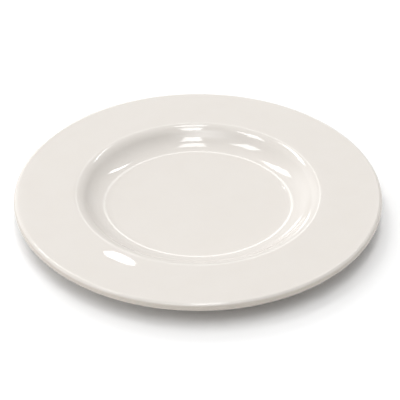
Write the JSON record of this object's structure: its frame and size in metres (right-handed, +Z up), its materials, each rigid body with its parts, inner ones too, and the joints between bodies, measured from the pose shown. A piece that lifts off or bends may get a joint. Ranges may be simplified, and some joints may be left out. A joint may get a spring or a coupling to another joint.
{
  "type": "rimmed plate",
  "caption": "Round ivory glazed plate with a broad flat rim, a rounded edge, a shallow well with a curved wall and a low bare foot ring, for serving food.",
  "frame": {"origin": "on the plate's axis, on the table plane under the foot ring", "axes": "+Z up along the axis of the plate; the plate is a body of revolution, so +X and +Y are any two square directions"},
  "size_m": [0.23, 0.23, 0.017],
  "materials": {
    "clay": "matte bare fired clay",
    "glaze": "gloss ivory glaze"
  },
  "bodies": {
    "root": {"body": "clay", "face_glaze": "glaze", "base_glaze": "glaze"}
  },
  "joints": []
}
